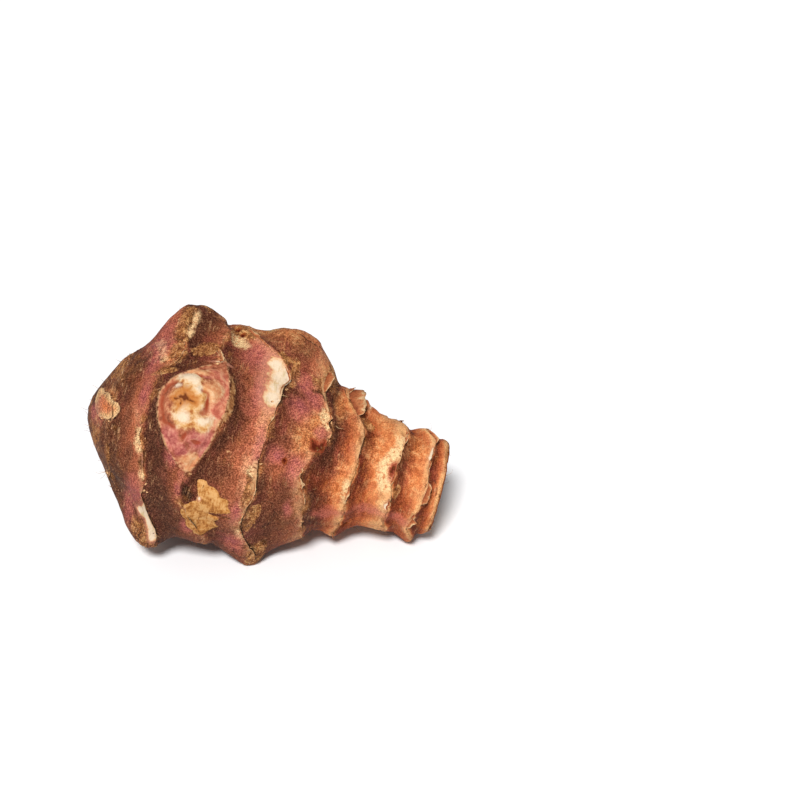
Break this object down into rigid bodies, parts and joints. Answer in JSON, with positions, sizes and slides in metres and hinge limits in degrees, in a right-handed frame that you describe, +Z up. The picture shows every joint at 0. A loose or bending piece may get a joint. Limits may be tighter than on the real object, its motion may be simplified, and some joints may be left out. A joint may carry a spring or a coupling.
{
  "type": "jerusalem artichoke",
  "caption": "Knobbly Jerusalem artichoke tuber with leaf-scar rings, raised buds and a cut neck, lying on its side as picked.",
  "frame": {"origin": "under the middle of the tuber's box, on the surface it lies on", "axes": "+X from the growing tip towards the cut neck, -Y the front that shows the largest eye, +Z up"},
  "size_m": [0.0854, 0.0552, 0.053],
  "materials": {
    "skin": "matt, dry, finely cracked corky skin, purple-brown with pink and cream at the leaf scars"
  },
  "bodies": {
    "root": {"tuber": "skin"}
  },
  "joints": []
}
